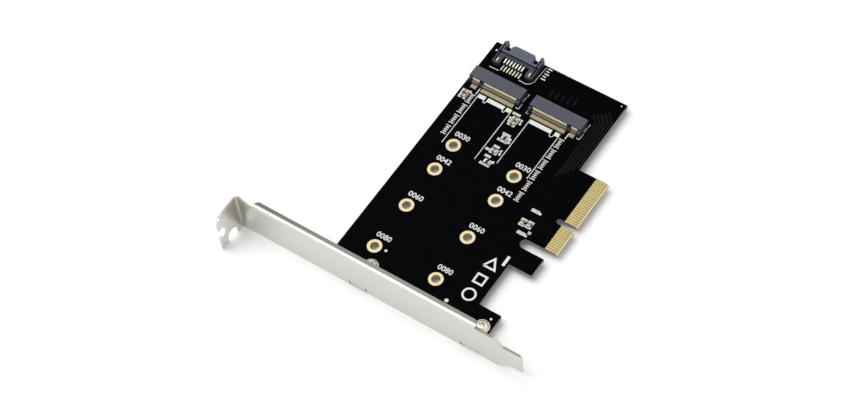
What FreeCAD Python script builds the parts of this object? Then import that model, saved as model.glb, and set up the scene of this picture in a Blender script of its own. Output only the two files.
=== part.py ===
import FreeCAD, Part
import math
import os

# Expansion card that carries two small plug-in drive modules.
# Card frame while modelling: X runs across the card towards its edge contacts, Y runs from
# the slot bracket towards the cable header, Z is up and is zero on the component face.
# The zero of X and Y is the far screw hole of the left module place.
# Every piece is moved at the end so that the whole card stands on Z = 0 about its middle.

V = FreeCAD.Vector

# Board
board_thickness = 1.57
board_left = -11.9               # X of the plain long edge
card_height = 68.9               # plain long edge to the tip of the edge contacts
edge_inset = 12.4                # tip of the edge contacts back to the straight board edge
board_far = 97.0                 # Y of the edge under the cable header
notch_y = 42.2                   # centre of the key notch between the edge contacts
notch_to_bracket_end = 56.95
notch_width = 1.9
notch_depth = 7.9
tab_to_notch_near = 12.15        # notch centre to the tab side next to the hook
tab_to_notch_far = 22.15
tab_bevel_run = 1.3              # lead-in bevel on the plug-in edge
tab_bevel_drop = 0.45
hook_width = 8.0
hook_gap = 3.8                   # slot between hook and tab
hook_inset = 3.1                 # hook end, short of the tab's tip
gap_inset = 1.6                  # how far that slot reaches inside the straight edge
foot_top = -0.6                  # Y where the foot beside the bracket begins
corner_radius = 0.5

# Edge contacts
contact_pitch = 1.0
contact_width = 0.7
contact_length = 4.5
contact_tip_gap = 0.6
contact_height = 0.05
near_contacts = 11
far_contacts = 21
notch_contact_span = 3.0         # first contact on one side of the notch to the first beyond it
short_contact_cut = 1.3          # the card-present contacts stop short of the tip
short_top_contacts = (17, 31)
short_bottom_contacts = (1,)

# Module screw holes
module_pitch = 26.1              # left module's centre line to right module's centre line
module_seat = 80.0               # end of a full-length module, in from the far screw hole
module_lengths = (80.0, 60.0, 42.0, 30.0)
hole_radius = 1.65
plating_wall = 0.2
ring_radius = 2.75
ring_height = 0.05

# Module sockets
socket_width = 21.9
socket_height = 3.2
mouth_depth = 4.2                # lower jaw's front edge to the back of the mouth
cover_setback = 1.3              # roof's front edge behind the lower jaw's
rear_wall = 2.1
mouth_width = 20.05
mouth_floor = 1.4
mouth_height = 1.0
mouth_back_gap = 0.3             # mouth runs this much deeper than the module's end
jaw_cheek_height = 2.2
pin_pitch = 0.5
pin_count = 75
pin_middle = 38
pin_width = 0.22
pin_sheet = 0.15
pin_channel = 0.3
pin_foot = 1.15
pin_hook = 0.65                  # how far the upper contacts turn down into the mouth
left_key_pins = (12, 19)
right_key_pins = (59, 66)
key_rib_width = 1.0
peg_spread = 9.9                 # socket centre to each locating peg
peg_radii = (0.8, 0.55)
peg_length = 1.1
peg_inset = 0.9                  # pegs and solder tabs, in front of the mouth's back
hold_down_width = 2.2
hold_down_reach = 0.65           # how far the solder tab shows past the socket's end
hold_down_sheet = 0.2
hold_down_height = 1.3
hold_down_inset = 0.4
fit_gap = 0.05                   # clearance round anything that passes through the board

# Cable header
header_x = 0.7
header_width = 17.2
header_height = 3.4
header_gap = 4.9                 # rear of the left socket to the header
header_overhang = 0.4            # header's front past the board's edge
header_mouth = 4.95              # depth of the open front, from the cross wall's rear face
header_wall = 1.0
ledge_depth = 1.25               # low step behind the cross wall
ledge_height = 2.4
arm_thickness = 1.5
groove_inset = 0.5               # groove along each side, in from the outer face
groove_width = 0.55
groove_depth = 0.9
tongue_width = 10.1
tongue_offset = 0.35             # tongue's middle past the header's
tongue_setback = 0.6             # tongue's front edge behind the arms' ends
tongue_bottom = 1.9
tongue_chamfer = 1.0
cheek_width = 3.1
cheek_height = 2.4
cheek_radius = 0.8
header_pins = 7
header_pin_pitch = 1.27
header_pin_offset = -0.55
header_pin_width = 0.5
header_pin_sheet = 0.25
header_leg_inset = 2.0           # legs in from the cheeks' rear ends
header_foot_reach = 0.6          # solder ends past the cheeks' rear ends
lock_x = 7.0
lock_inset = 1.7
lock_length = 1.7
lock_sheet = 0.4
lock_pocket = 0.08

# Slot bracket
sheet = 0.86
bracket_length = 120.02
bracket_width = 18.42
bracket_gap = 0.15               # board end to the bracket's back
edge_below_board = 2.03          # bracket's long edge below the solder face
tongue_past_tab = 15.2           # bracket tip past the tip of the edge contacts
flange_depth = 12.1              # outer face to the end of the turned-out flange
flange_bend = 1.1                # inside radius
flange_slot_width = 4.42
flange_slot_depth = 3.7
flange_corner = 1.0
ear_length = 1.7
ear_drop = 1.2
prong_width = 4.1                # between the flange's end and the round recess under it
recess_reach = 5.0               # width of that recess
recess_rise = 4.6
blade_width = 10.19              # narrow end that drops beside the board
blade_length = 4.4
blade_taper = 4.2
blade_step = 2.9
lip_depth = 2.7
lip_bend = 0.5
lip_corner = 1.2
lip_start = 8.0                  # from the flange's outer face
lip_end_gap = 18.5               # from the narrow tip
dip_depth = 2.4                  # relief in the long edge between flange and lip
dip_run = 1.8
tab_width = 6.4
tab_reach = 11.7
tab_round = 1.2
tab_relief = 0.5                 # slit on each side of a tab's fold
screw_places = ((3.6, -7.6), (50.4, -7.7))

# Bracket screws
screw_radius = 1.5
screw_head_radius = 2.9
screw_head_height = 1.7
screw_rim_height = 0.7
screw_top_radius = 1.9
recess_width = 0.75
recess_span = 3.0
recess_depth = 1.1

# Chips
chip_length = 2.0
chip_width = 1.25
chip_height = 0.85
resistor_height = 0.5
chip_end = 0.4
capacitor_places = ((-9.4, 72.0), (-9.3, 70.1), (13.1, 70.9), (12.9, 68.9), (14.0, 55.3))
upright_capacitor_places = ((39.3, 35.4), (42.0, 35.6))
resistor_places = ((14.4, 61.9), (14.5, 50.2))
test_pad_place = (34.1, -5.3)
test_pad_radius = 0.75

# Worked out from the sizes above
tab_tip = board_left + card_height
board_edge = tab_tip - edge_inset
hook_end = tab_tip - hook_inset
board_near = notch_y - notch_to_bracket_end
tab_near = notch_y - tab_to_notch_near
tab_far = notch_y + tab_to_notch_far
hook_far = tab_near - hook_gap
hook_near = hook_far - hook_width
board_bottom = -board_thickness
tab_bottom = board_bottom - sheet
bracket_bottom = board_bottom - edge_below_board
bracket_top = bracket_bottom + bracket_width
bracket_back = board_near - bracket_gap
bracket_face = bracket_back - sheet
bracket_tip = tab_tip + tongue_past_tab
flange_face = bracket_tip - bracket_length
flange_end = bracket_face - flange_depth
socket_centres = (0.0, module_pitch)
mouth_back = module_seat + mouth_back_gap
socket_front = mouth_back - mouth_depth
cover_front = socket_front + cover_setback
socket_rear = mouth_back + rear_wall
peg_y = mouth_back - peg_inset
hold_down_y = mouth_back - hold_down_inset
header_rear = socket_rear + header_gap
header_front = board_far + header_overhang
header_wall_y = header_front - header_mouth
header_leg_y = header_rear + header_leg_inset
header_foot_end = header_rear - header_foot_reach
lock_y = header_rear + lock_inset
tongue_front = header_front - tongue_setback
mouth_roof = mouth_floor + mouth_height
hole_rows = [module_seat - length for length in module_lengths]
origin_shift = V(-(flange_face + bracket_tip) / 2, -(flange_end + header_front) / 2, -bracket_bottom)


def box(x0, x1, y0, y1, z0, z1):
    return Part.makeBox(x1 - x0, y1 - y0, z1 - z0, V(x0, y0, z0))


def post(x, y, radius, z0, z1):
    return Part.makeCylinder(radius, z1 - z0, V(x, y, z0))


def plate(points, z0, z1):
    """Flat outline in X and Y, raised from z0 to z1."""
    outline = [V(x, y, z0) for x, y in points]
    return Part.Face(Part.makePolygon(outline + outline[:1])).extrude(V(0, 0, z1 - z0))


def rail(points, x0, x1):
    """Outline in Y and Z, drawn out along X."""
    outline = [V(x0, y, z) for y, z in points]
    return Part.Face(Part.makePolygon(outline + outline[:1])).extrude(V(x1 - x0, 0, 0))


def panel(points, y0, y1):
    """Outline in X and Z, drawn out along Y."""
    outline = [V(x, y0, z) for x, z in points]
    return Part.Face(Part.makePolygon(outline + outline[:1])).extrude(V(0, y1 - y0, 0))


def join(shapes):
    return shapes[0].multiFuse(shapes[1:]).removeSplitter()


def cut_all(shape, tools):
    return shape.cut(Part.makeCompound(tools))


def strip_path(points, thickness):
    """Outline of a bent strip whose lower or inner side follows the given right-angled path."""
    left, right = [], []
    for i, (y, z) in enumerate(points):
        before = points[max(i - 1, 0)]
        after = points[min(i + 1, len(points) - 1)]
        turns = []
        for (ya, za), (yb, zb) in ((before, (y, z)), ((y, z), after)):
            run = math.hypot(yb - ya, zb - za)
            if run > 0:
                turns.append((-(zb - za) / run, (yb - ya) / run))
        ny = sum(t[0] for t in turns) / len(turns)
        nz = sum(t[1] for t in turns) / len(turns)
        size = ny * ny + nz * nz
        left.append((y, z))
        right.append((y + ny * thickness / size, z + nz * thickness / size))
    return left + right[::-1]


def make_board():
    body = join([
        box(board_left, board_edge, board_near, board_far, board_bottom, 0),
        box(board_edge, hook_end, board_near, foot_top, board_bottom, 0),
        box(board_edge, hook_end, hook_near, hook_far, board_bottom, 0),
        box(board_edge, tab_tip, tab_near, tab_far, board_bottom, 0),
    ])
    gap_radius = hook_gap / 2
    gap_end = board_edge - gap_inset + gap_radius
    notch_end = tab_tip - notch_depth + notch_width / 2
    cuts = [
        post(gap_end, tab_near - gap_radius, gap_radius, board_bottom, 0),
        box(gap_end, tab_tip, hook_far, tab_near, board_bottom, 0),
        post(notch_end, notch_y, notch_width / 2, board_bottom, 0),
        box(notch_end, tab_tip, notch_y - notch_width / 2, notch_y + notch_width / 2,
            board_bottom, 0),
    ]
    for face, inward in ((0, -1), (board_bottom, 1)):
        cuts.append(panel([(tab_tip, face), (tab_tip - tab_bevel_run, face),
                           (tab_tip, face + inward * tab_bevel_drop)], tab_near, tab_far))
    for x in socket_centres:
        for y in hole_rows:
            cuts.append(post(x, y, hole_radius + plating_wall, board_bottom, 0))
        for side, radius in zip((-1, 1), peg_radii):
            cuts.append(post(x + side * peg_spread, peg_y, radius + fit_gap, board_bottom, 0))
    for x, y in screw_places:
        cuts.append(post(x, y, screw_radius + 2 * fit_gap, board_bottom, 0))
    for side in (-1, 1):
        cuts.append(lock_blade(side, fit_gap, board_bottom, 0))
    body = cut_all(body, cuts)
    corners = [e for e in body.Edges if is_upright_at(e, (board_left, board_left, hook_end),
                                                     (board_near, board_far, foot_top))]
    return body.makeFillet(corner_radius, corners)


def is_upright_at(edge, xs, ys):
    if len(edge.Vertexes) != 2:
        return False
    a, b = (v.Point for v in edge.Vertexes)
    if math.hypot(a.x - b.x, a.y - b.y) > 1e-6:
        return False
    return any(math.hypot(a.x - x, a.y - y) < 1e-6 for x, y in zip(xs, ys))


def contact_rows():
    """Contact number and Y of each edge contact, counted from the hook."""
    first_far = notch_y + notch_contact_span / 2
    last_near = notch_y - notch_contact_span / 2
    for i in range(near_contacts):
        yield i + 1, last_near - (near_contacts - 1 - i) * contact_pitch
    for i in range(far_contacts):
        yield near_contacts + 1 + i, first_far + i * contact_pitch


def make_edge_contacts(z0, short_ones):
    pads = []
    for number, y in contact_rows():
        tip = tab_tip - tab_bevel_run - contact_tip_gap / 2
        inner = tip - contact_length
        if number in short_ones:
            tip -= short_contact_cut
        pads.append(box(inner, tip, y - contact_width / 2, y + contact_width / 2,
                        z0, z0 + contact_height))
    return pads


def make_hole_platings():
    """One turned shape for each module hole: a tube with a ring on each face."""
    outline = [(hole_radius, board_bottom - ring_height), (ring_radius, board_bottom - ring_height),
               (ring_radius, board_bottom), (hole_radius + plating_wall, board_bottom),
               (hole_radius + plating_wall, 0), (ring_radius, 0), (ring_radius, ring_height),
               (hole_radius, ring_height)]
    ring = [V(r, 0, z) for r, z in outline]
    one = Part.Face(Part.makePolygon(ring + ring[:1])).revolve(V(0, 0, 0), V(0, 0, 1), 360)
    return [one.translated(V(x, y, 0)) for x in socket_centres for y in hole_rows]


def pin_x(number):
    return (number - pin_middle) * pin_pitch / 2


def live_pins(first, key_pins):
    return [n for n in range(first, pin_count + 1, 2) if not key_pins[0] <= n <= key_pins[1]]


def pin_groups(numbers):
    """First and last contact of each unbroken run along one row."""
    starts = [n for n in numbers if n - 2 not in numbers]
    ends = [n for n in numbers if n + 2 not in numbers]
    return list(zip(starts, ends))


def socket_housing(x, key_pins):
    half = socket_width / 2
    body = rail([(socket_front, 0), (socket_rear, 0), (socket_rear, socket_height),
                 (cover_front, socket_height), (cover_front, jaw_cheek_height),
                 (socket_front, jaw_cheek_height)], x - half, x + half)
    mouth = box(x - mouth_width / 2, x + mouth_width / 2, socket_front, mouth_back,
                mouth_floor, mouth_roof)
    above_jaw = box(x - mouth_width / 2, x + mouth_width / 2, socket_front, cover_front,
                    mouth_floor, jaw_cheek_height)
    tools = [mouth, above_jaw]
    for number in live_pins(2, key_pins):
        at = x + pin_x(number)
        tools.append(rail([(socket_front, 0), (socket_front + 3 * pin_sheet, 0),
                           (socket_front + 3 * pin_sheet, mouth_floor - 3 * pin_sheet),
                           (mouth_back, mouth_floor - 3 * pin_sheet), (mouth_back, mouth_floor),
                           (socket_front, mouth_floor)],
                          at - pin_channel / 2, at + pin_channel / 2))
    leg_rear = socket_rear - 2 * pin_sheet
    leg_front = socket_rear - 5 * pin_sheet
    for first, last in pin_groups(live_pins(1, key_pins)):
        tools.append(rail([(cover_front, mouth_roof), (cover_front, mouth_roof + 3 * pin_sheet),
                           (leg_rear, mouth_roof + 3 * pin_sheet), (leg_rear, 2 * pin_sheet),
                           (socket_rear, 2 * pin_sheet), (socket_rear, 0), (leg_front, 0),
                           (leg_front, mouth_roof)],
                          x + pin_x(first) - pin_channel / 2, x + pin_x(last) + pin_channel / 2))
    for side in (-1, 1):
        tools.append(hold_down(x, side, fit_gap, 0))
    body = cut_all(body, tools)
    key_x = x + pin_x(sum(key_pins) / 2)
    pieces = [body, box(key_x - key_rib_width / 2, key_x + key_rib_width / 2,
                        cover_front, mouth_back, mouth_floor, mouth_roof)]
    for side, radius in zip((-1, 1), peg_radii):
        pieces.append(post(x + side * peg_spread, peg_y, radius, -peg_length, 0))
    return join(pieces)


def hold_down(x, side, grow, foot_z):
    """Bent tab that solders a socket's end to the board; grow makes its pocket."""
    root = socket_width / 2 - 2 * hold_down_sheet
    reach = socket_width / 2 + hold_down_reach
    inner = x + side * (root - grow)
    outer = x + side * (root + hold_down_sheet + grow)
    y0 = hold_down_y - hold_down_width / 2 - grow
    y1 = hold_down_y + hold_down_width / 2 + grow
    upright = box(min(inner, outer), max(inner, outer), y0, y1, foot_z, hold_down_height + grow)
    tip = x + side * reach
    foot = box(min(inner, tip), max(inner, tip), y0, y1, foot_z, hold_down_sheet + grow)
    return join([upright, foot])


def lower_pins(x, key_pins):
    """Spring contacts soldered in front, lying in the comb of the lower jaw."""
    path = strip_path([(socket_front - pin_foot, 0), (socket_front + 2 * pin_sheet, 0),
                       (socket_front + 2 * pin_sheet, mouth_floor - pin_sheet),
                       (mouth_back - 3 * pin_sheet, mouth_floor - pin_sheet)], pin_sheet)
    return [rail(path, x + pin_x(n) - pin_width / 2, x + pin_x(n) + pin_width / 2)
            for n in live_pins(2, key_pins)]


def upper_pins(x, key_pins):
    """Spring contacts soldered behind, running under the roof and turned down at the mouth."""
    run_z = mouth_roof + pin_sheet
    leg_y = socket_rear - 4 * pin_sheet
    path = strip_path([(cover_front + pin_sheet, mouth_roof - pin_hook),
                       (cover_front + pin_sheet, run_z), (leg_y, run_z), (leg_y, 0),
                       (socket_rear + pin_foot, 0)], pin_sheet)
    return [rail(path, x + pin_x(n) - pin_width / 2, x + pin_x(n) + pin_width / 2)
            for n in live_pins(1, key_pins)]


def lock_blade(side, grow, z0, z1):
    x = header_x + side * lock_x
    return box(x - lock_sheet / 2 - grow, x + lock_sheet / 2 + grow,
               lock_y - lock_length / 2 - grow, lock_y + lock_length / 2 + grow, z0, z1)


def header_pin_places():
    first = header_x + header_pin_offset - (header_pins - 1) / 2 * header_pin_pitch
    return [first + i * header_pin_pitch for i in range(header_pins)]


def header_pin_path():
    top = tongue_bottom - header_pin_sheet
    return strip_path([(header_foot_end, 0), (header_leg_y, 0), (header_leg_y, top),
                       (tongue_front - tongue_chamfer, top)], header_pin_sheet)


def make_header_housing():
    half = header_width / 2
    tongue_from = header_x + tongue_offset - tongue_width / 2
    tongue_to = tongue_from + tongue_width
    wall_front = header_wall_y + header_wall
    ledge_rear = header_wall_y - ledge_depth
    pieces = [box(header_x - half, header_x + half, header_wall_y, wall_front, 0, header_height),
              box(header_x - half, header_x + half, ledge_rear, wall_front, 0, ledge_height)]
    pieces.append(plate([(tongue_from, header_wall_y), (tongue_to, header_wall_y),
                         (tongue_to, tongue_front - tongue_chamfer),
                         (tongue_to - tongue_chamfer, tongue_front),
                         (tongue_from + tongue_chamfer, tongue_front),
                         (tongue_from, tongue_front - tongue_chamfer)],
                        tongue_bottom, header_height))
    tools = [lock_blade(side, lock_pocket, 0, header_height) for side in (-1, 1)]
    for side in (-1, 1):
        outer = header_x + side * half
        inner = outer - side * arm_thickness
        pieces.append(plate([(inner, header_wall_y), (outer, header_wall_y),
                             (outer, header_front - arm_thickness / 2),
                             (outer - side * arm_thickness / 2, header_front),
                             (inner, header_front)], 0, header_height))
        cheek_in = outer - side * cheek_width
        cheek = box(min(outer, cheek_in), max(outer, cheek_in), header_rear, wall_front,
                    0, cheek_height)
        corner = [e for e in cheek.Edges
                  if is_upright_at(e, (outer, cheek_in), (header_rear, header_rear))]
        pieces.append(cheek.makeFillet(cheek_radius, corner))
        a, b = sorted((outer - side * groove_inset, outer - side * (groove_inset + groove_width)))
        tools.append(box(a, b, header_rear + cheek_radius, header_front - arm_thickness,
                         cheek_height - groove_depth, header_height))
    for x in header_pin_places():
        tools.append(box(x - header_pin_width / 2, x + header_pin_width / 2, ledge_rear,
                         tongue_front - tongue_chamfer, tongue_bottom - header_pin_sheet,
                         tongue_bottom))
    return cut_all(join(pieces), tools)


def make_header_pins():
    path = header_pin_path()
    return [rail(path, x - header_pin_width / 2, x + header_pin_width / 2)
            for x in header_pin_places()]


def make_board_locks():
    return [lock_blade(side, 0, bracket_bottom, cheek_height + fit_gap) for side in (-1, 1)]


def bracket_outline():
    """Face of the bracket seen from the front, from the flange to the narrow tip."""
    blade_low = bracket_bottom + (bracket_width - blade_width) / 2
    blade_high = blade_low + blade_width
    shoulder = bracket_tip - blade_length
    taper_start = shoulder - blade_taper
    lip_from = flange_face + lip_start
    return [(flange_face + sheet + flange_bend, bracket_bottom),
            (taper_start - blade_step, bracket_bottom), (shoulder, blade_low),
            (bracket_tip, blade_low), (bracket_tip, blade_high - flange_corner / 2),
            (bracket_tip - flange_corner / 2, blade_high), (shoulder - blade_step, blade_high),
            (taper_start - blade_step, bracket_top - lip_depth / 2),
            (bracket_tip - lip_end_gap, bracket_top - lip_depth / 2),
            (bracket_tip - lip_end_gap, bracket_top - lip_bend - sheet),
            (lip_from, bracket_top - lip_bend - sheet),
            (lip_from - dip_run, bracket_top - dip_depth),
            (flange_face + sheet + flange_bend, bracket_top)]


def make_bracket():
    face = panel(bracket_outline(), bracket_face, bracket_back)
    reliefs = []
    for x, _ in screw_places:
        half = tab_width / 2
        reliefs.append(box(x - half, x + half, bracket_face, bracket_back, bracket_bottom,
                           tab_bottom))
        for side in (-1, 1):
            a, b = sorted((x + side * half, x + side * (half + tab_relief)))
            reliefs.append(box(a, b, bracket_face, bracket_back, bracket_bottom,
                               board_bottom + tab_relief))
    face = cut_all(face, reliefs)
    bend_centre = V(flange_face + sheet + flange_bend, bracket_face - flange_bend, bracket_bottom)
    flange_elbow = ring_sector_z(bend_centre, flange_bend)
    flange = make_flange()
    lip_from = flange_face + lip_start
    lip_to = bracket_tip - lip_end_gap
    lip = ring_sector_x(lip_from, lip_to)
    lip_y = bracket_back + lip_bend
    lip_rear = bracket_face + lip_depth
    ledge = plate([(lip_from, lip_y), (lip_to, lip_y), (lip_to, lip_rear - lip_corner),
                   (lip_to - lip_corner, lip_rear), (lip_from + lip_corner, lip_rear),
                   (lip_from, lip_rear - lip_corner)], bracket_top - sheet, bracket_top)
    pieces = [face, flange_elbow, flange, lip, ledge]
    for x, y in screw_places:
        end = bracket_back + tab_reach
        tab = plate([(x - tab_width / 2, bracket_face), (x + tab_width / 2, bracket_face),
                     (x + tab_width / 2, end - tab_round), (x + tab_width / 2 - tab_round, end),
                     (x - tab_width / 2 + tab_round, end), (x - tab_width / 2, end - tab_round)],
                    tab_bottom, board_bottom)
        pieces.append(tab.cut(post(x, y, screw_radius + fit_gap, tab_bottom, board_bottom)))
    return join(pieces)


def ring_sector_z(centre, inner_radius):
    """Quarter bend between the face and the flange."""
    outer = Part.makeCylinder(inner_radius + sheet, bracket_width, centre)
    inner = Part.makeCylinder(inner_radius, bracket_width, centre)
    reach = inner_radius + sheet
    quarter = box(centre.x - reach, centre.x, centre.y, centre.y + reach,
                  bracket_bottom, bracket_top)
    return outer.cut(inner).common(quarter)


def ring_sector_x(x0, x1):
    """Quarter bend between the face and the stiffening lip."""
    centre = V(x0, bracket_back + lip_bend, bracket_top - sheet - lip_bend)
    outer = Part.makeCylinder(lip_bend + sheet, x1 - x0, centre, V(1, 0, 0))
    inner = Part.makeCylinder(lip_bend, x1 - x0, centre, V(1, 0, 0))
    quarter = box(x0, x1, centre.y - lip_bend - sheet, centre.y, centre.z, bracket_top)
    return outer.cut(inner).common(quarter)


def make_flange():
    """Turned-out end with its open screw slot, its ear and the round recess under it."""
    near = bracket_face - flange_bend
    mid = (bracket_bottom + bracket_top) / 2
    top = bracket_top
    slot = flange_slot_width / 2
    end = flange_end
    c = flange_corner
    outline = [(near, bracket_bottom), (near, top), (end + ear_length, top),
               (end + ear_length, top - ear_drop), (end + c / 2, top - ear_drop),
               (end, top - ear_drop - c / 2), (end, bracket_bottom + c), (end + c, bracket_bottom)]
    flange = rail(outline, flange_face, flange_face + sheet)
    round_y = end + flange_slot_depth - slot
    recess = recess_reach / 2
    recess_y = end + prong_width + recess
    recess_z = bracket_bottom + recess_rise - recess
    cuts = [
        box(flange_face, flange_face + sheet, end, round_y, mid - slot, mid + slot),
        cross_post(round_y, mid, slot),
        box(flange_face, flange_face + sheet, recess_y - recess, recess_y + recess,
            bracket_bottom, recess_z),
        cross_post(recess_y, recess_z, recess),
    ]
    return flange.cut(join(cuts[:2])).cut(join(cuts[2:]))


def cross_post(y, z, radius):
    """Cylinder through the flange's sheet."""
    return Part.makeCylinder(radius, sheet, V(flange_face, y, z), V(1, 0, 0))


def make_screws():
    screws = []
    outline = [V(0, 0, 0), V(screw_head_radius, 0, 0), V(screw_head_radius, 0, screw_rim_height),
               V(screw_top_radius, 0, screw_head_height), V(0, 0, screw_head_height)]
    profile = Part.Face(Part.makePolygon(outline + outline[:1]))
    pan_head = profile.revolve(V(0, 0, 0), V(0, 0, 1), 360)
    for x, y in screw_places:
        head = pan_head.translated(V(x, y, 0))
        shank = post(x, y, screw_radius, tab_bottom, 0)
        low = screw_head_height - recess_depth
        cross = [box(x - recess_span / 2, x + recess_span / 2, y - recess_width / 2,
                     y + recess_width / 2, low, screw_head_height),
                 box(x - recess_width / 2, x + recess_width / 2, y - recess_span / 2,
                     y + recess_span / 2, low, screw_head_height)]
        screws.append(cut_all(join([head, shank]), cross))
    return screws


def make_chips(places, height, upright_places=()):
    """Body and two end caps of each chip, lying along X or, where upright, along Y."""
    bodies, ends = [], []
    inner = chip_length / 2 - chip_end
    for turned, group in ((False, places), (True, upright_places)):
        for x, y in group:
            for low, high, found in ((-inner, inner, bodies), (-chip_length / 2, -inner, ends),
                                     (inner, chip_length / 2, ends)):
                chip = box(low, high, -chip_width / 2, chip_width / 2, 0, height)
                if turned:
                    chip.rotate(V(0, 0, 0), V(0, 0, 1), 90)
                found.append(chip.translated(V(x, y, 0)))
    return bodies, ends


def save(name, shapes):
    shapes = shapes if isinstance(shapes, list) else [shapes]
    moved = [s.translated(origin_shift) for s in shapes]
    shape = moved[0] if len(moved) == 1 else Part.makeCompound(moved)
    shape.exportStep(os.path.join("parts", name + ".step"))


os.makedirs("parts", exist_ok=True)
save("circuit_board", make_board())
save("edge_contacts_top", make_edge_contacts(0, short_top_contacts))
save("edge_contacts_bottom", make_edge_contacts(board_bottom - contact_height,
                                                short_bottom_contacts))
save("module_hole_platings", make_hole_platings())
for side_name, x, key_pins in (("left", socket_centres[0], left_key_pins),
                               ("right", socket_centres[1], right_key_pins)):
    save(side_name + "_socket_housing", socket_housing(x, key_pins))
    save(side_name + "_socket_lower_contacts", lower_pins(x, key_pins))
    save(side_name + "_socket_upper_contacts", upper_pins(x, key_pins))
    save(side_name + "_socket_hold_downs", [hold_down(x, side, 0, 0) for side in (-1, 1)])
save("cable_header_housing", make_header_housing())
save("cable_header_contacts", make_header_pins())
save("cable_header_board_locks", make_board_locks())
save("slot_bracket", make_bracket())
save("bracket_screws", make_screws())
capacitor_bodies, capacitor_ends = make_chips(capacitor_places, chip_height,
                                              upright_capacitor_places)
resistor_bodies, resistor_ends = make_chips(resistor_places, resistor_height)
save("capacitor_bodies", capacitor_bodies)
save("capacitor_end_caps", capacitor_ends)
save("resistor_bodies", resistor_bodies)
save("resistor_end_caps", resistor_ends)
save("test_pad", post(*test_pad_place, test_pad_radius, 0, contact_height))
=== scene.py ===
import math

import bmesh
import bpy
from mathutils import Euler, Matrix, Vector


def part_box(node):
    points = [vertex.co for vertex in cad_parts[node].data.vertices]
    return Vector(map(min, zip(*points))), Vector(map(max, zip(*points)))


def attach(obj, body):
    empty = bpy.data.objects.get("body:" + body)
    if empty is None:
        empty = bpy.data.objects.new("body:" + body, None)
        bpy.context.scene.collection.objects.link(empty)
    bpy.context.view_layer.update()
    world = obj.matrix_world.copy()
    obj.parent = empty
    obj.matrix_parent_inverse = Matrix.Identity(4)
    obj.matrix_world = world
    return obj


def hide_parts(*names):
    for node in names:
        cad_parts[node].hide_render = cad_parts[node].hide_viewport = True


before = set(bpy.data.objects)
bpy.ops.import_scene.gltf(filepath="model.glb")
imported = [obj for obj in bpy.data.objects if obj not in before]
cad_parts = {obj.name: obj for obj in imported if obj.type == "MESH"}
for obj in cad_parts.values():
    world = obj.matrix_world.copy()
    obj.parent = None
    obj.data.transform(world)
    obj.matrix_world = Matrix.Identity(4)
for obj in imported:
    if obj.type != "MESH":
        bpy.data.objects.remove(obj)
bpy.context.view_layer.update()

MM = 0.001

# The card's own zero is the far screw hole of the left module place, as on the solid model.
# Places on the card are in millimetres from it: u runs across to the edge contacts, and v
# from the bracket to the cable header.
RING_RADIUS = 2.75 * MM
hole_low, hole_high = (Vector(c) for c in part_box("module_hole_platings"))
board_high = Vector(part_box("circuit_board")[1])
ZERO_X = hole_low.x + RING_RADIUS
ZERO_Y = hole_low.y + RING_RADIUS
BOARD_TOP = board_high.z
MODULE_PITCH = (hole_high.x - hole_low.x - 2 * RING_RADIUS) / MM
HOLE_ROWS = ((80, 0.0), (60, 20.0), (42, 38.0), (30, 50.0))   # module length and its hole's v

# How far the layers stand above the board
PRINT_HEIGHT = 0.02 * MM
TRACK_HEIGHT = 0.035 * MM
PAD_HEIGHT = 0.03 * MM

# Plug-in edge, in millimetres
CONTACT_PITCH = 1.0
CONTACT_START = 40.7              # v of one contact's middle, the others follow at the pitch
CONTACT_HALF = 0.35               # half the width of a contact
CONTACT_INNER = 51.8              # u where the black mask ends before the edge contacts
HOOK_END = 29.0                   # v up to which the foot and the hook keep their mask
PLATING_RUN = 2.75                # strip at the tab's tip with plating past the solid contacts
TIP_HIGHLIGHT_REACH = 0.45                   # painted highlight: a paler line at the very tip, for its lit bevel

# Slot bracket, in millimetres
SHEET_HALF = 0.43                 # half the thickness of the sheet
SHEET_V = -15.76 + SHEET_HALF     # v of the middle of the sheet
FLANGE_REACH = 0.6                # the turned-out end lies within this of the bend
BEND_SHADE_START = 1.6                   # how far the painted tan shade round the bend reaches at the bracket's foot
BEND_SHADE_SPREAD = 0.42                 # how fast it widens upwards
LIP_START = 3.0                   # the lip's painted dark shade starts this far past the bend
LIP_REACH = 62.0                  # length over which it fades
bend_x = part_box("slot_bracket")[0][0] + SHEET_HALF * MM
bend_y = ZERO_Y + SHEET_V * MM


# Materials

# A face counts as level where the upright part of its normal is over this
LEVEL = 0.5
LIP_LEVEL = 0.93                  # for the lip's top, without the round beside it

MASK_SHINE = 0.015                # the black mask hardly shines
MASK_ROUGH, BARE_ROUGH = 0.42, 0.75
MASK_OVER_GOLD = (0.001, 0.001, 0.0017)
PLATED_TAB = (0.56, 0.46, 0.22)
# painted highlight at the tab's tip, for its lit bevel
TIP_HIGHLIGHT_GOLD = (0.72, 0.64, 0.38)
# the bores' plating, darkened with painted shade
BORE_BROWN = (0.60, 0.42, 0.18)
# painted light: the turned-out end is lighter than the sheet, for the light it takes
FLANGE_PAINTED_LIGHT = (0.80, 0.80, 0.76)
# painted shade: the tan reflection and shade round the bend
BEND_PAINTED_SHADE = (0.40, 0.365, 0.29)
BEND_SHADE_SHARE = 0.75                  # how much of it shows at the bend
BEND_SHADE_FADE = (0.55, 1.1)            # where it starts and ends fading, as shares of its reach
# painted shade on the lip's top, standing in for its dark reflection
LIP_SHADE = (0.13, 0.11, 0.10)
LIP_SHARE = (0.85, 0.45)          # how much of it shows at the bend and where it fades out
# painted shade on the plastic's sides
PLASTIC_PAINTED_SHADE = (0.012, 0.0135, 0.020)


def rgba(colour):
    return (*colour, 1.0)


def shaded(tone, share):
    return tuple(share * c for c in tone)


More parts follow.
